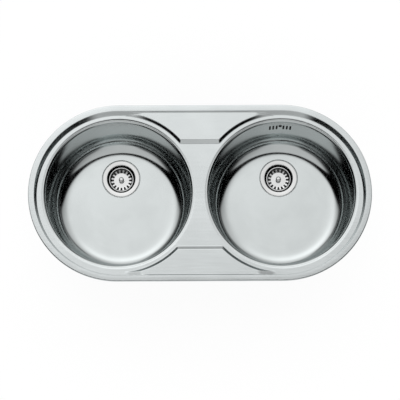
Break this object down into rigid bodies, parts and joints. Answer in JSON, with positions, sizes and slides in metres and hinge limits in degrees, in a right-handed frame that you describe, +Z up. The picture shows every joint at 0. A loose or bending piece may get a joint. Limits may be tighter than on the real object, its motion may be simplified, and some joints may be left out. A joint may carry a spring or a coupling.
{
  "type": "double bowl kitchen sink",
  "caption": "Inset stainless steel sink with half-round ends, two round bowls with basket strainers, raised panels between them and screw clips under the rim.",
  "frame": {"origin": "middle of the sink on the worktop's top surface", "axes": "+X along the sink to the right bowl, +Y to the back of the worktop, +Z up"},
  "size_m": [0.84, 0.44, 0.24],
  "materials": {
    "deck": "fine satin pressed stainless sheet",
    "bowl": "bright satin stainless, brushed round the bowl",
    "waste": "polished stainless",
    "basket": "polished stainless",
    "fastener": "zinc plated steel",
    "bracket": "galvanised steel strip",
    "rubber": "black rubber",
    "gasket": "dark grey foam rubber",
    "plastic": "black polypropylene, moulded",
    "hose": "light grey ribbed plastic",
    "pad": "grey bitumen damping pad"
  },
  "bodies": {
    "sink": {"deck": "deck", "edge_seal": "gasket", "left_bowl": "bowl", "left_sound_pad": "pad", "left_strainer_cup": "waste", "left_flange_seal": "gasket", "left_lower_seal": "rubber", "left_waste_body": "plastic", "left_centre_screw": "fastener", "right_bowl": "bowl", "right_sound_pad": "pad", "right_strainer_cup": "waste", "right_flange_seal": "gasket", "right_lower_seal": "rubber", "right_waste_body": "plastic", "right_centre_screw": "fastener", "overflow_gasket": "rubber", "overflow_housing": "plastic", "overflow_screw": "fastener", "overflow_hose": "hose", "back_rail": "bracket", "front_rail": "bracket", "left_rail": "bracket", "right_rail": "bracket", "back_left_clip_bracket": "bracket", "back_right_clip_bracket": "bracket", "front_left_clip_bracket": "bracket", "front_right_clip_bracket": "bracket", "right_back_clip_bracket": "bracket", "right_front_clip_bracket": "bracket", "left_back_clip_bracket": "bracket", "left_front_clip_bracket": "bracket"},
    "left_strainer": {"left_basket": "basket", "left_basket_knob": "basket", "left_stopper": "rubber"},
    "right_strainer": {"right_basket": "basket", "right_basket_knob": "basket", "right_stopper": "rubber"},
    "back_left_clip_jaw": {"back_left_clip_jaw": "bracket"},
    "back_left_clip_screw": {"back_left_clip_screw": "fastener"},
    "back_right_clip_jaw": {"back_right_clip_jaw": "bracket"},
    "back_right_clip_screw": {"back_right_clip_screw": "fastener"},
    "front_left_clip_jaw": {"front_left_clip_jaw": "bracket"},
    "front_left_clip_screw": {"front_left_clip_screw": "fastener"},
    "front_right_clip_jaw": {"front_right_clip_jaw": "bracket"},
    "front_right_clip_screw": {"front_right_clip_screw": "fastener"},
    "right_back_clip_jaw": {"right_back_clip_jaw": "bracket"},
    "right_back_clip_screw": {"right_back_clip_screw": "fastener"},
    "right_front_clip_jaw": {"right_front_clip_jaw": "bracket"},
    "right_front_clip_screw": {"right_front_clip_screw": "fastener"},
    "left_back_clip_jaw": {"left_back_clip_jaw": "bracket"},
    "left_back_clip_screw": {"left_back_clip_screw": "fastener"},
    "left_front_clip_jaw": {"left_front_clip_jaw": "bracket"},
    "left_front_clip_screw": {"left_front_clip_screw": "fastener"}
  },
  "joints": [
    {"name": "left_strainer_lift", "type": "slide", "parent": "sink", "child": "left_strainer", "axis": [0, 0, 1], "range_m": [0, 0.19]},
    {"name": "right_strainer_lift", "type": "slide", "parent": "sink", "child": "right_strainer", "axis": [0, 0, 1], "range_m": [0, 0.19]},
    {"name": "back_left_clip_climb", "type": "slide", "parent": "sink", "child": "back_left_clip_jaw", "axis": [0, 0, 1], "range_m": [0, 0.015]},
    {"name": "back_left_clip_turn", "type": "hinge", "parent": "back_left_clip_jaw", "child": "back_left_clip_screw", "pos_m": [-0.1, 0.2025, -0.044], "axis": [0, 0, 1], "range_deg": [0, 6750]},
    {"name": "back_right_clip_climb", "type": "slide", "parent": "sink", "child": "back_right_clip_jaw", "axis": [0, 0, 1], "range_m": [0, 0.015]},
    {"name": "back_right_clip_turn", "type": "hinge", "parent": "back_right_clip_jaw", "child": "back_right_clip_screw", "pos_m": [0.1, 0.2025, -0.044], "axis": [0, 0, 1], "range_deg": [0, 6750]},
    {"name": "front_left_clip_climb", "type": "slide", "parent": "sink", "child": "front_left_clip_jaw", "axis": [0, 0, 1], "range_m": [0, 0.015]},
    {"name": "front_left_clip_turn", "type": "hinge", "parent": "front_left_clip_jaw", "child": "front_left_clip_screw", "pos_m": [-0.1, -0.2025, -0.044], "axis": [0, 0, 1], "range_deg": [0, 6750]},
    {"name": "front_right_clip_climb", "type": "slide", "parent": "sink", "child": "front_right_clip_jaw", "axis": [0, 0, 1], "range_m": [0, 0.015]},
    {"name": "front_right_clip_turn", "type": "hinge", "parent": "front_right_clip_jaw", "child": "front_right_clip_screw", "pos_m": [0.1, -0.2025, -0.044], "axis": [0, 0, 1], "range_deg": [0, 6750]},
    {"name": "right_back_clip_climb", "type": "slide", "parent": "sink", "child": "right_back_clip_jaw", "axis": [0, 0, 1], "range_m": [0, 0.015]},
    {"name": "right_back_clip_turn", "type": "hinge", "parent": "right_back_clip_jaw", "child": "right_back_clip_screw", "pos_m": [0.35957, 0.12467, -0.044], "axis": [0, 0, 1], "range_deg": [0, 6750]},
    {"name": "right_front_clip_climb", "type": "slide", "parent": "sink", "child": "right_front_clip_jaw", "axis": [0, 0, 1], "range_m": [0, 0.015]},
    {"name": "right_front_clip_turn", "type": "hinge", "parent": "right_front_clip_jaw", "child": "right_front_clip_screw", "pos_m": [0.35957, -0.12467, -0.044], "axis": [0, 0, 1], "range_deg": [0, 6750]},
    {"name": "left_back_clip_climb", "type": "slide", "parent": "sink", "child": "left_back_clip_jaw", "axis": [0, 0, 1], "range_m": [0, 0.015]},
    {"name": "left_back_clip_turn", "type": "hinge", "parent": "left_back_clip_jaw", "child": "left_back_clip_screw", "pos_m": [-0.35957, 0.12467, -0.044], "axis": [0, 0, 1], "range_deg": [0, 6750]},
    {"name": "left_front_clip_climb", "type": "slide", "parent": "sink", "child": "left_front_clip_jaw", "axis": [0, 0, 1], "range_m": [0, 0.015]},
    {"name": "left_front_clip_turn", "type": "hinge", "parent": "left_front_clip_jaw", "child": "left_front_clip_screw", "pos_m": [-0.35957, -0.12467, -0.044], "axis": [0, 0, 1], "range_deg": [0, 6750]}
  ],
  "couplings": [
    {"joint": "back_left_clip_turn", "follows": "back_left_clip_climb", "rad_per_m": 7854},
    {"joint": "back_right_clip_turn", "follows": "back_right_clip_climb", "rad_per_m": 7854},
    {"joint": "front_left_clip_turn", "follows": "front_left_clip_climb", "rad_per_m": 7854},
    {"joint": "front_right_clip_turn", "follows": "front_right_clip_climb", "rad_per_m": 7854},
    {"joint": "right_back_clip_turn", "follows": "right_back_clip_climb", "rad_per_m": 7854},
    {"joint": "right_front_clip_turn", "follows": "right_front_clip_climb", "rad_per_m": 7854},
    {"joint": "left_back_clip_turn", "follows": "left_back_clip_climb", "rad_per_m": 7854},
    {"joint": "left_front_clip_turn", "follows": "left_front_clip_climb", "rad_per_m": 7854}
  ]
}
